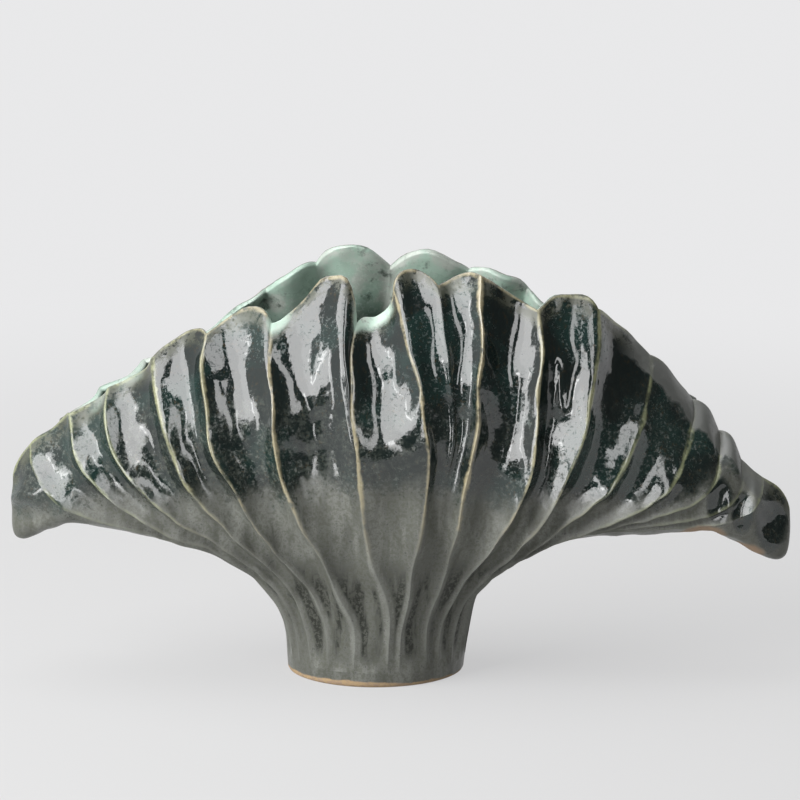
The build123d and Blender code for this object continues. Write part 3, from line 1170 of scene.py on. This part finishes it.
class Canvas(NodeBook):
    """Node tree of a new material, with the places on its piece in metres.

    Attributes:
        material: the material.
        place: object coordinates.
        x, y, z: the same one by one.
    """

    def __init__(self, name: str) -> None:
        """Start a material of this name."""
        self.material = bpy.data.materials.new(name)
        self.material.use_nodes = True
        super().__init__(self.material.node_tree)
        self.place = self.wire(self.node("ShaderNodeTexCoord"), "Object")
        self.x, self.y, self.z = self.axes(self.place)

    def axes(self, place: Wire) -> tuple[Wire, Wire, Wire]:
        """The three coordinates of a place."""
        apart = self.node("ShaderNodeSeparateXYZ", None, {0: place})
        return self.wire(apart, "X"), self.wire(apart, "Y"), self.wire(apart, "Z")

    def stretched(self, scale: Triple) -> Wire:
        """Object coordinates, stretched along the axes."""
        return self.wire(self.node("ShaderNodeMapping", None, {"Vector": self.place, "Scale": scale}))

    def noise(self, grain: Grain, place: Wire | None = None, output: str | int = 0) -> Wire:
        """Noise of a grain, about 0 to 1.

        Args:
            grain: the grain.
            place: coordinates, if not the object's own.
            output: the node's output.

        Returns:
            The noise.
        """
        return self.wire(self.node("ShaderNodeTexNoise", None, {
            "Vector": place or self.place, "Scale": grain.scale, "Detail": grain.detail,
            "Roughness": grain.roughness}), output)

    def layer(self, layer: Layer) -> Wire:
        """A number that the clay carries."""
        return self.wire(self.node("ShaderNodeAttribute", {"attribute_name": layer.value}), "Fac")

    def end(self, surface: bpy.types.Node) -> bpy.types.Material:
        """The material, with this node as its surface."""
        self.node("ShaderNodeOutputMaterial", None, {"Surface": self.wire(surface)})
        return self.material


@dataclass(frozen=True)
class Spot:
    """An oval place in the front view, in metres.

    Attributes:
        x, z: its middle.
        half_width, half_height: its half sizes.
        edge: squares of the distances, as shares of the half sizes, between which it fades out.
    """

    x: float
    z: float
    half_width: float
    half_height: float
    edge: Span = (0.45, 1.3)

    def share(self, book: Canvas, place: Wire) -> Wire:
        """1 well inside the oval and 0 outside it.

        Args:
            book: the material's nodes.
            place: object coordinates.

        Returns:
            The share.
        """
        x, _, z = book.axes(place)
        side = (x - self.x) * (1 / self.half_width)
        rise = (z - self.z) * (1 / self.half_height)
        return book.falling(side * side + rise * rise, *self.edge)


@dataclass(frozen=True)
class GreenGlaze:
    """Glossy dark green glaze that breaks to pale lines on crests and lip, with a mint inside.

    Colours are linear, places are in metres, and gaps to a crest or to the rim are in millimetres.

    Attributes:
        deep, pool, brown: the dark glaze, where it gathers, and its flecks.
        olive: mottling under the lip and low down.
        haze: milky veil over the lower part of the dark glaze.
        painted_roll_reflection: a plain pale grey painted on the rolled right shoulder as a reflection of the
            pale backdrop.
        ochre, moss: pale lines in the middle and on the wings.
        stem, stem_pale_and_highlight, stem_dark_and_shade: the satin glaze low down, partly a painted
        reflection of the floor; its paler runs and the painted highlight on its ridges; and its dark specks
        and the painted shade in its grooves.
        mint, mint_grey, mint_dark_and_shade: the inside, its mottling, and its dark blotches and the painted
            shade deeper inside, at the back lip and on the floor inside.
        clay, clay_dark: bare clay.
        refraction, satin_refraction: index of refraction of the glossy and of the satin glaze.
        clouds, blotches, fine, flecks: noises of the outside.
        runs, run_stretch: noise of the runs down the stem.
        mint_mottle, mint_blotch: noises of the inside.
        grain, rim_mottle, breaks, wander: noises of the lip and of the pale lines.
        roll_edge: noise of the lower edge of the painted reflection on the rolled shoulder.
        peel, pits: noises of the surface itself.
        foot_grain, foot_wander: noises of the clay foot and of its glaze line.
        spot_edge, spot_wander: noise of the edges of spots, and how far they wander.
        haze_top, haze_side: height where the haze ends, and where to the right it thins.
        satin_top, satin_slope: height where the satin glaze and its painted floor reflection end, and how fast
            that falls towards the wings.
        tip_side, tip_rise: where the satin glaze climbs near the right tip, and how far.
        groove_shade_foot, groove_shade_top, groove_shade_gap: heights and gaps to a crest between which
        grooves get painted shade.
        ridge_highlight_gap, ridge_highlight_foot: gap to a crest and height where ridges get a painted
        highlight.
        back_side, back_lip_shade: where painted shade darkens the mint lip at the back.
        mint_depth_shade, mint_side: where painted shade darkens the mint down the inside, and where the mint
            ends in the wings.
        mottle_gap: gap to the rim where its mottling ends.
        line_gap, line_foot, lip_gap: width of the lines, height where they start, and width on the lip.
        moss_side: where lines turn from ochre to moss.
        valley_gap, inner_share: how far mint runs over the rim in its valleys, and over the lip elsewhere.
        roll_start, roll_end, roll_gap: ends and lower edge of the rolled right shoulder, which carries the
            painted reflection.
        foot_line, foot_slope, foot_centre: height of the glaze line on the foot, and how it falls off centre.
        floor_share: where over the slab's top edge its inside begins.
        pools: places on the wing where the dark glaze gathers below its usual level.
        bare: places under the wing where the clay is left bare.
    """

    deep: Colour = (0.008, 0.014, 0.013)
    pool: Colour = (0.012, 0.030, 0.026)
    brown: Colour = (0.034, 0.026, 0.013)
    olive: Colour = (0.062, 0.066, 0.040)
    haze: Colour = (0.095, 0.108, 0.090)
    painted_roll_reflection: Colour = (0.120, 0.126, 0.118)
    ochre: Colour = (0.46, 0.40, 0.25)
    moss: Colour = (0.30, 0.32, 0.18)
    stem: Colour = (0.128, 0.132, 0.118)
    stem_pale_and_highlight: Colour = (0.205, 0.211, 0.192)
    stem_dark_and_shade: Colour = (0.026, 0.028, 0.022)
    mint: Colour = (0.46, 0.62, 0.52)
    mint_grey: Colour = (0.57, 0.62, 0.56)
    mint_dark_and_shade: Colour = (0.05, 0.08, 0.06)
    clay: Colour = (0.45, 0.32, 0.18)
    clay_dark: Colour = (0.36, 0.26, 0.18)
    refraction: float = 1.72
    satin_refraction: float = 1.36
    clouds: Grain = Grain(30.0, 4.0, 0.6)
    blotches: Grain = Grain(170.0, 5.0, 0.7)
    fine: Grain = Grain(520.0, 4.0, 0.7)
    flecks: Grain = Grain(620.0, 2.0, 0.6)
    runs: Grain = Grain(1.0, 4.0, 0.6)
    run_stretch: Triple = (120.0, 120.0, 20.0)
    mint_mottle: Grain = Grain(48.0, 5.0, 0.65)
    mint_blotch: Grain = Grain(85.0, 4.0, 0.7)
    grain: Grain = Grain(190.0, 4.0, 0.65)
    rim_mottle: Grain = Grain(150.0, 5.0, 0.75)
    breaks: Grain = Grain(95.0, 3.0, 0.6)
    wander: Grain = Grain(70.0, 2.0, 0.5)
    roll_edge: Grain = Grain(55.0, 3.0, 0.5)
    peel: Grain = Grain(90.0, 2.0, 0.45)
    pits: Grain = Grain(900.0, 1.0, 0.5)
    foot_grain: Grain = Grain(420.0, 4.0, 0.65)
    foot_wander: Grain = Grain(60.0, 4.0, 0.65)
    spot_edge: Grain = Grain(160.0, 2.0, 0.5)
    spot_wander: float = 0.003
    haze_top: Span = (0.150, 0.172)
    haze_side: Span = (-0.04, 0.09)
    satin_top: Span = (0.098, 0.114)
    satin_slope: float = 0.10
    tip_side: Span = (0.160, 0.180)
    tip_rise: float = 0.018
    groove_shade_foot: Span = (0.010, 0.020)
    groove_shade_top: Span = (0.050, 0.075)
    groove_shade_gap: Span = (2.0, 4.4)
    ridge_highlight_gap: Span = (0.4, 2.6)
    ridge_highlight_foot: Span = (0.009, 0.026)
    back_side: Span = (0.0, 0.012)
    back_lip_shade: Span = (1.0, 5.0)
    mint_depth_shade: Span = (14.0, 40.0)
    mint_side: Span = (0.140, 0.170)
    mottle_gap: Span = (5.0, 11.0)
    line_gap: Span = (0.2, 2.2)
    line_foot: Span = (0.060, 0.118)
    lip_gap: Span = (0.2, 1.8)
    moss_side: Span = (0.05, 0.13)
    valley_gap: Span = (2.0, 6.5)
    inner_share: Span = (0.15, 0.45)
    roll_start: Span = (0.120, 0.135)
    roll_end: Span = (0.193, 0.203)
    roll_gap: Span = (11.0, 13.5)
    foot_line: Span = (0.0026, 0.0036)
    foot_slope: float = 0.03
    foot_centre: float = -0.012
    floor_share: Span = (0.45, 0.8)
    pools: tuple[Spot, ...] = (
        Spot(0.175, 0.092, 0.007, 0.013),
        Spot(0.187, 0.084, 0.006, 0.011),
        Spot(0.2025, 0.079, 0.0095, 0.018),
    )
    bare: tuple[Spot, ...] = (
        Spot(0.167, 0.0725, 0.012, 0.006),
        Spot(0.188, 0.0615, 0.011, 0.006),
    )

    def spots(self, book: Canvas, spots: tuple[Spot, ...]) -> Wire:
        """1 inside any of the spots and 0 outside them, with an uneven edge.

        Args:
            book: the material's nodes.
            spots: the spots.

        Returns:
            The share.
        """
        uneven = book.noise(self.spot_edge, output="Color")
        moved = book.node("ShaderNodeVectorMath", {"operation": "MULTIPLY_ADD"},
                          {0: uneven, 1: (self.spot_wander,) * 3, 2: book.place})
        centred = book.node("ShaderNodeVectorMath", {"operation": "SUBTRACT"},
                            {0: book.wire(moved), 1: (self.spot_wander / 2,) * 3})
        return reduce(Wire.largest, (spot.share(book, book.wire(centred)) for spot in spots))

    def outside(self, book: Canvas, crest_gap: Wire) -> tuple[Wire, Wire, Wire]:
        """Colour, roughness and satin share of the glaze on the outside, without its pale lines.

        Args:
            book: the material's nodes.
            crest_gap: distance to the nearest crest.

        Returns:
            Base colour, roughness, and 1 where the glaze is satin to 0 where it is glossy.
        """
        clouds = book.noise(self.clouds)
        blotches = book.noise(self.blotches)
        fine = book.noise(self.fine)
        specks = book.rising(fine, 0.54, 0.62) * book.rising(clouds, 0.40, 0.55)
        flecks = book.rising(book.noise(self.flecks), 0.57, 0.66) * book.rising(blotches, 0.45, 0.60)
        colour = book.blend(book.rising(clouds, 0.45, 0.62), self.deep, self.pool)
        colour = book.blend(flecks, colour, self.brown)
        haze = 0.65 * book.falling(book.z + 0.03 * clouds, *self.haze_top)
        haze = haze * book.rising(book.x, *self.haze_side, 1.0, 0.45)
        haze = haze * book.rising(blotches, 0.34, 0.66) * book.rising(fine, 0.32, 0.66)
        colour = book.blend(haze, colour, self.haze)
        level = book.z + self.satin_slope * abs(book.x) + 0.026 * (blotches - 0.5) + 0.034 * (clouds - 0.5)
        level = level - self.tip_rise * book.rising(book.x, *self.tip_side)
        satin = book.falling(level, *self.satin_top) * (1.0 - self.spots(book, self.pools))
        # partly painted reflection: below the belly the glaze takes a lighter satin grey-green, partly the
        # thinner glaze and partly a painted reflection of the pale floor
        colour = book.blend(satin, colour, self.satin_colour_and_floor_reflection(book, crest_gap, fine))
        roughness = 0.05 + 0.30 * satin + 0.45 * specks * (1.0 - satin) + 0.25 * haze
        return colour, roughness, satin

    def satin_colour_and_floor_reflection(self, book: Canvas, crest_gap: Wire, fine: Wire) -> Wire:
        """Satin grey-green of the stem and the undersides, partly the thinner glaze and partly a painted
        reflection of the pale floor, with a painted highlight on the ridges, and darker and speckled in the
        grooves as painted shade.

        Args:
            book: the material's nodes.
            crest_gap: distance to the nearest crest.
            fine: fine noise.

        Returns:
            Base colour.
        """
        runs = book.noise(self.runs, book.stretched(self.run_stretch))
        # painted shade in the grooves of the stem, and a painted highlight along its ridges
        groove_shade = book.rising(book.z, *self.groove_shade_foot) * book.falling(book.z, *self.groove_shade_top)
        groove_shade = groove_shade * book.rising(crest_gap, *self.groove_shade_gap) * book.rising(runs, 0.40, 0.54)
        ridge_highlight = book.falling(crest_gap, *self.ridge_highlight_gap) * book.rising(book.z, *self.ridge_highlight_foot)
        colour = book.blend(book.rising(runs, 0.40, 0.62), self.stem, self.stem_pale_and_highlight)
        colour = book.blend(book.rising(fine, 0.40, 0.58, 0.45, 0.0), colour, self.olive)
        colour = book.blend(0.55 * ridge_highlight, colour, self.stem_pale_and_highlight)
        colour = book.blend(groove_shade * book.rising(fine, 0.40, 0.54, 0.45, 1.0), colour, self.stem_dark_and_shade)
        return book.blend(book.rising(fine, 0.56, 0.70, 0.0, 0.55), colour, self.stem_dark_and_shade)

    def inner_colour(self, book: Canvas, rim_gap: Wire) -> Wire:
        """Mint glaze of the inside, mottled with grey and dark blotches, with painted shade darkening it
        further down and along the back lip.

        Args:
            book: the material's nodes.
            rim_gap: distance to the rim.

        Returns:
            Base colour.
        """
        mint = book.blend(book.rising(book.noise(self.mint_mottle), 0.44, 0.62), self.mint, self.mint_grey)
        blotch = book.rising(book.noise(self.mint_blotch), 0.56, 0.70)
        mint = book.blend(0.8 * blotch, mint, self.mint_dark_and_shade)
        # painted shade along the lip at the back of the inside
        back_lip_shade = book.rising(book.y, *self.back_side) * book.falling(rim_gap, *self.back_lip_shade)
        mint = book.blend(0.5 * back_lip_shade, mint, self.mint_dark_and_shade)
        # painted shade: the mint darkens further from the rim, down the inside
        mint = book.blend(book.rising(rim_gap, *self.mint_depth_shade, 0.0, 0.9), mint, self.mint_dark_and_shade)
        return book.blend(book.rising(abs(book.x), *self.mint_side), mint, self.stem)

    def rolled_shoulder(self, book: Canvas, rim_gap: Wire) -> Wire:
        """1 on the rolled shoulder along the right wing's rim, where the painted reflection lies, and 0
        elsewhere.

        Args:
            book: the material's nodes.
            rim_gap: distance to the rim.

        Returns:
            The share.
        """
        along_wing = book.rising(book.x, *self.roll_start) * book.falling(book.x, *self.roll_end)
        uneven = book.noise(self.roll_edge)
        return along_wing * book.falling(rim_gap + 16.0 * (uneven - 0.5), *self.roll_gap)

    def pale_lines(self, book: Canvas, crest_gap: Wire, rim_gap: Wire, grain: Wire,
                   rolled: Wire) -> tuple[Wire, Wire]:
        """Ragged pale lines where the glaze runs thin.

        Args:
            book: the material's nodes.
            crest_gap, rim_gap: distances to the nearest crest and to the rim.
            grain: noise that frays the lines.
            rolled: 1 where the rim is rolled and the lines nearly go.

        Returns:
            1 on a crest's line to 0 off it, and the same for the lip's line.
        """
        breaks = book.rising(book.noise(self.breaks), 0.36, 0.52, 0.15, 1.0) * (1.0 - 0.85 * rolled)
        wander = book.noise(self.wander)
        ragged = crest_gap + 4.2 * (grain - 0.5) + 3.0 * (wander - 0.5)
        line = book.falling(ragged, *self.line_gap) * book.rising(book.z, *self.line_foot) * breaks
        lip = book.falling(rim_gap + 2.5 * (wander - 0.5), *self.lip_gap) * breaks
        return line, lip * book.rising(grain, 0.36, 0.56, 0.25, 1.0)

    def material(self) -> bpy.types.Material:
        """The glaze on the walls, keels, tips and stem.

        Returns:
            The material.
        """
        book = Canvas("green_glaze_over_stoneware")
        grain = book.noise(self.grain)
        crest_gap = book.layer(Layer.CREST_GAP)
        rim_gap = book.layer(Layer.RIM_GAP) + 3.0 * (grain - 0.5)
        colour, roughness, satin = self.outside(book, crest_gap)
        mottle = book.noise(self.rim_mottle)
        near_rim = book.falling(rim_gap + 12.0 * (mottle - 0.5), *self.mottle_gap)
        near_rim = near_rim * book.rising(mottle, 0.40, 0.56)
        colour = book.blend(0.7 * near_rim, colour, self.olive)
        rolled = self.rolled_shoulder(book, rim_gap)
        # painted reflection: the rolled right shoulder is painted plain pale grey, as if it mirrored the pale
        # backdrop
        colour = book.blend(rolled, colour, self.painted_roll_reflection)
        line, lip = self.pale_lines(book, crest_gap, rim_gap, grain, rolled)
        line_colour = book.blend(book.rising(abs(book.x), *self.moss_side), self.ochre, self.moss)
        colour = book.blend((line * 0.8).largest(lip * 0.75), colour, line_colour)
        bare = self.spots(book, self.bare)
        colour = book.blend(bare, colour, self.clay_dark)
        valley_lip = book.layer(Layer.VALLEY) * book.falling(rim_gap, *self.valley_gap)
        inner = book.rising(book.layer(Layer.INSIDE), *self.inner_share).largest(valley_lip)
        colour = book.blend(inner, colour, self.inner_colour(book, rim_gap))
        roughness = (roughness + 0.35 * near_rim + 0.1 * line).largest(0.32 * rolled)
        roughness = roughness + 0.22 * inner + 0.5 * bare
        pits = book.rising(book.noise(self.pits), 0.30, 0.45)
        relief = book.noise(self.peel) + 0.02 * pits
        bump = book.node("ShaderNodeBump", None, {"Strength": 0.4, "Distance": 0.0012, "Height": relief})
        return self.fired(book, colour, roughness, satin, bump)

    def foot_material(self) -> bpy.types.Material:
        """Bare clay of the slab, with the glaze that stops just above the table and the floor inside painted
        dark mint as shade.

        Returns:
            The material.
        """
        book = Canvas("bare_stoneware_foot")
        glaze, glaze_roughness, satin = self.outside(book, book.layer(Layer.CREST_GAP))
        grain = book.noise(self.foot_grain)
        clay = book.blend(book.rising(grain, 0.40, 0.66), self.clay, self.clay_dark)
        off_centre = abs(book.x - self.foot_centre)
        edge = book.z + self.foot_slope * off_centre + 0.004 * (book.noise(self.foot_wander) - 0.5)
        glazed = book.rising(edge, *self.foot_line)
        colour = book.blend(glazed, clay, glaze)
        inside = book.rising(book.layer(Layer.INSIDE), *self.floor_share)
        # painted shade: the floor inside the vase is painted dark mint
        colour = book.blend(inside, colour, self.mint_dark_and_shade)
        roughness = 0.8 + glazed * (glaze_roughness - 0.8)
        bump = book.node("ShaderNodeBump", None, {"Strength": 0.5, "Distance": 0.0004, "Height": grain})
        return self.fired(book, colour, roughness, satin, bump)

    def fired(self, book: Canvas, colour: Wire, roughness: Wire, satin: Wire,
              bump: bpy.types.Node) -> bpy.types.Material:
        """End a material in its glossy and its satin glaze.

        Args:
            book: the material's nodes.
            colour, roughness, bump: what both glazes share.
            satin: 1 where the glaze is satin to 0 where it is glossy.

        Returns:
            The material.
        """
        shared = {"Base Color": colour, "Roughness": roughness, "Normal": book.wire(bump)}
        glossy = book.node("ShaderNodeBsdfPrincipled", None, {**shared, "IOR": self.refraction})
        dull = book.node("ShaderNodeBsdfPrincipled", None, {**shared, "IOR": self.satin_refraction})
        return book.end(book.node("ShaderNodeMixShader", None, {
            0: satin, 1: book.wire(glossy), 2: book.wire(dull)}))


def looking(place: Triple, aim: Triple) -> Euler:
    """Turn of a lamp or camera that stands at a place and looks at another one."""
    return (Vector(aim) - Vector(place)).to_track_quat("-Z", "Y").to_euler()


@dataclass(frozen=True)
class SoftBox:
    """Rectangular lamp that faces the vase.

    Attributes:
        name: name of the lamp.
        place: its centre, in metres.
        size: its width and height.
        level: brightness of its face.
        mirrored: whether the glaze mirrors it.
        lights: whether it gives plain light.
        aim: what it faces.
    """

    name: str
    place: Triple
    size: Pair
    level: float
    mirrored: bool = True
    lights: bool = True
    aim: Triple = (0.0, 0.0, 0.12)

    def build(self) -> None:
        """Put the lamp into the scene."""
        width, height = self.size
        data = bpy.data.lights.new(self.name, "AREA")
        data.shape = "RECTANGLE"
        data.size = width
        data.size_y = height
        data.energy = self.level * pi * width * height
        lamp = bpy.data.objects.new(self.name, data)
        lamp.location = self.place
        lamp.rotation_euler = looking(self.place, self.aim)
        lamp.visible_camera = False
        lamp.visible_glossy = self.mirrored
        lamp.visible_diffuse = self.lights
        bpy.context.scene.collection.objects.link(lamp)


@dataclass
class Studio:
    """Pale floor, soft boxes, a dark flag in front and the camera.

    Attributes:
        camera_place, camera_aim: where the camera stands and what it looks at, in metres.
        lens, sensor: focal length and width of the sensor, in millimetres.
        camera_reach: how far the camera sees.
        white: plain white.
        pale: level of the pale surroundings.
        fill: level of the world for plain diffuse light.
        floor_radius, floor_steps: size of the floor and steps round it.
        lit_radius: distances from the vase between which the floor fades into plain paleness.
        floor_glow: share of plain paleness in the floor near the vase, which keeps its shadow light.
        floor_colour, glow_colour: the floor's paper and its plain paleness.
        boxes: the lamps.
        flag_radius, flag_span: how far off the flag stands, and the heights of its edges.
        flag_turn, flag_steps: its ends in degrees from the front towards the right, and steps between them.
        flag_level: its brightness.
    """

    camera_place: Triple = (0.0125, -2.9344, 0.7635)
    camera_aim: Triple = (0.0125, 0.0, 0.1398)
    lens: float = 264.7
    sensor: float = 36.0
    camera_reach: float = 50.0
    white: Colour = (1.0, 1.0, 1.0)
    pale: float = 0.82
    fill: float = 0.36
    floor_radius: float = 7.0
    floor_steps: int = 96
    lit_radius: Span = (0.35, 1.0)
    floor_glow: float = 0.65
    floor_colour: Colour = (0.50, 0.50, 0.495)
    glow_colour: Colour = (0.99, 0.99, 1.0)
    boxes: tuple[SoftBox, ...] = (
        SoftBox("front_soft_box", (-0.50, -0.98, 0.80), (1.0, 1.15), 6.0, lights=False),
        SoftBox("left_strip", (-0.87, -0.73, 0.30), (0.20, 0.56), 6.0, lights=False),
        SoftBox("front_strip", (-0.16, -1.13, 0.32), (0.12, 0.50), 6.0, lights=False),
        SoftBox("right_strip", (0.40, -1.02, 0.74), (0.30, 0.90), 4.4, lights=False),
        SoftBox("key_soft_box", (-1.15, -0.75, 0.85), (1.2, 1.2), 7.2, mirrored=False),
        SoftBox("top_soft_box", (-0.6, 0.3, 1.7), (1.6, 1.3), 2.6),
    )
    flag_radius: float = 1.35
    flag_span: Span = (0.002, 2.2)
    flag_turn: Span = (-28.0, 110.0)
    flag_steps: int = 40
    flag_level: float = 0.06

    def camera(self) -> None:
        """Camera at the photograph's angle."""
        data = bpy.data.cameras.new("studio_camera")
        data.lens = self.lens
        data.sensor_width = self.sensor
        data.clip_end = self.camera_reach
        camera = bpy.data.objects.new("studio_camera", data)
        camera.location = self.camera_place
        camera.rotation_euler = looking(self.camera_place, self.camera_aim)
        bpy.context.scene.collection.objects.link(camera)
        bpy.context.scene.camera = camera

    @staticmethod
    def seen_directly(book: NodeBook) -> Wire:
        """1 for camera, glossy and transmission rays, 0 for diffuse light."""
        path = book.node("ShaderNodeLightPath")
        rays = ("Is Camera Ray", "Is Glossy Ray", "Is Transmission Ray")
        return reduce(Wire.largest, (book.wire(path, ray) for ray in rays))

    def world(self) -> None:
        """Pale surroundings that light the vase only softly."""
        world = bpy.data.worlds.new("studio_world")
        world.use_nodes = True
        bpy.context.scene.world = world
        book = NodeBook(world.node_tree)
        strength = self.fill + (self.pale - self.fill) * self.seen_directly(book)
        back = book.node("ShaderNodeBackground", None, {"Color": self.white, "Strength": strength})
        book.node("ShaderNodeOutputWorld", None, {"Surface": book.wire(back)})

    def floor(self) -> None:
        """Wide pale floor that keeps the vase's shadow and fades into plain paleness further off."""
        bm = bmesh.new()
        bmesh.ops.create_circle(bm, cap_ends=True, segments=self.floor_steps, radius=self.floor_radius)
        floor = finished(bm, "studio_floor")
        book = Canvas("studio_floor_paper")
        reach = book.node("ShaderNodeVectorMath", {"operation": "LENGTH"}, {0: book.place})
        far = book.rising(book.wire(reach, "Value"), *self.lit_radius, self.floor_glow, 1.0)
        paper = book.node("ShaderNodeBsdfDiffuse", None, {"Color": self.floor_colour})
        glow = book.node("ShaderNodeEmission", None, {"Color": self.glow_colour, "Strength": self.pale})
        mixed = book.node("ShaderNodeMixShader", None, {
            0: far * self.seen_directly(book), 1: book.wire(paper), 2: book.wire(glow)})
        floor.data.materials.append(book.end(mixed))
        floor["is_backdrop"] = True

    def flag(self) -> None:
        """Dark curved flag in front, which only shows in the glaze's reflections."""
        start, end = (radians(turn) for turn in self.flag_turn)
        x = self.flag_radius * sin(start)
        y = -self.flag_radius * cos(start)
        bm = bmesh.new()
        ends = [bm.verts.new((x, y, height)) for height in self.flag_span]
        edge = bm.edges.new(ends)
        bmesh.ops.spin(bm, geom=[*ends, edge], cent=(0, 0, 0), axis=(0, 0, 1), dvec=(0, 0, 0),
                       angle=end - start, steps=self.flag_steps, use_merge=False, use_duplicate=False)
        flag = finished(bm, "studio_flag")
        book = Canvas("studio_flag_cloth")
        glow = book.node("ShaderNodeEmission", None, {"Color": self.white, "Strength": self.flag_level})
        flag.data.materials.append(book.end(glow))
        flag.visible_camera = False
        flag.visible_diffuse = False
        flag.visible_shadow = False
        flag.visible_transmission = False
        flag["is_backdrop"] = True

    def build(self) -> None:
        """Set up the whole studio."""
        bpy.context.scene.view_settings.view_transform = "Standard"
        self.camera()
        self.world()
        self.floor()
        self.flag()
        for box in self.boxes:
            box.build()


def main() -> None:
    """Build the vase and its studio in order."""
    logging.basicConfig(level=logging.INFO, format="%(name)s %(message)s")
    noise.seed_set(NOISE_SEED)
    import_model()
    cad_box = [list(corner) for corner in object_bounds()]
    form = VaseForm()
    hands = Handwork(Vector(cad_box[0]), Vector(cad_box[1]))
    sheet = ClaySheet(form, hands)
    stem_sheet = ClaySheet(form, hands, upward=16)
    end_sheet = ClaySheet(form, hands, across=28, upward=48)
    glaze = GreenGlaze()
    green = glaze.material()
    FloorSlab(form, hands).build("vase_floor", "floor_slab", glaze.foot_material())
    StemCollar(stem_sheet).build("vase_stem", "stem_collar", green)
    front = PleatedWall(sheet, FRONT_PLEATS, back=False)
    back = PleatedWall(sheet, BACK_PLEATS, back=True)
    front.build("vase_front", "front_wall", green)
    back.build("vase_back", "back_wall", green)
    for wing in Wing:
        WingEnd(end_sheet, wing, front.end(wing), back.end(wing)).build(green)
    Studio().build()


if __name__ == "__main__":
    main()
